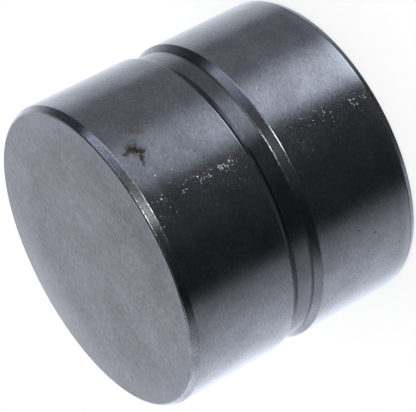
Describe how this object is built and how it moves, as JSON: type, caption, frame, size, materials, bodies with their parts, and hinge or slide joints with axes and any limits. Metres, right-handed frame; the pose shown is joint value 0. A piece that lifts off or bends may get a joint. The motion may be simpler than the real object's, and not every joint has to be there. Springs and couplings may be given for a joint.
{
  "type": "hydraulic valve lifter",
  "caption": "Bucket-type hydraulic valve lifter: ground steel bucket with flat cam face, oil groove and open skirt, holding a sprung hydraulic element that meets the valve stem.",
  "frame": {"origin": "centre of the skirt rim, on the plane that the lifter stands on", "axes": "+Z along the axis from the open skirt to the crown; the oil feed hole points along +Y"},
  "size_m": [0.03, 0.03, 0.0255],
  "materials": {
    "ground_steel": "finely ground, with turned bevels and groove",
    "turned_steel": "turned and honed",
    "pressed_steel": "pressed sheet, dull",
    "spring_steel": "drawn wire, dark",
    "polished_steel": "polished"
  },
  "bodies": {
    "bucket": {"bucket_body": "ground_steel", "web_ring": "pressed_steel", "guide_sleeve": "turned_steel", "piston": "turned_steel", "valve_cap": "pressed_steel", "retaining_ring": "spring_steel", "return_spring": "spring_steel", "ball_spring": "spring_steel"},
    "housing": {"inner_housing": "turned_steel"},
    "ball": {"check_ball": "polished_steel"}
  },
  "joints": [
    {"name": "housing_slide", "type": "slide", "parent": "bucket", "child": "housing", "axis": [0, 0, 1], "range_m": [0, 0.0025], "stiffness_N_per_m": 400, "springref_m": -0.0005, "deforming": ["return_spring"]},
    {"name": "ball_lift", "type": "slide", "parent": "bucket", "child": "ball", "axis": [0, 0, -1], "range_m": [0, 0.00025], "stiffness_N_per_m": 20, "springref_m": -0.0003, "deforming": ["ball_spring"]}
  ]
}
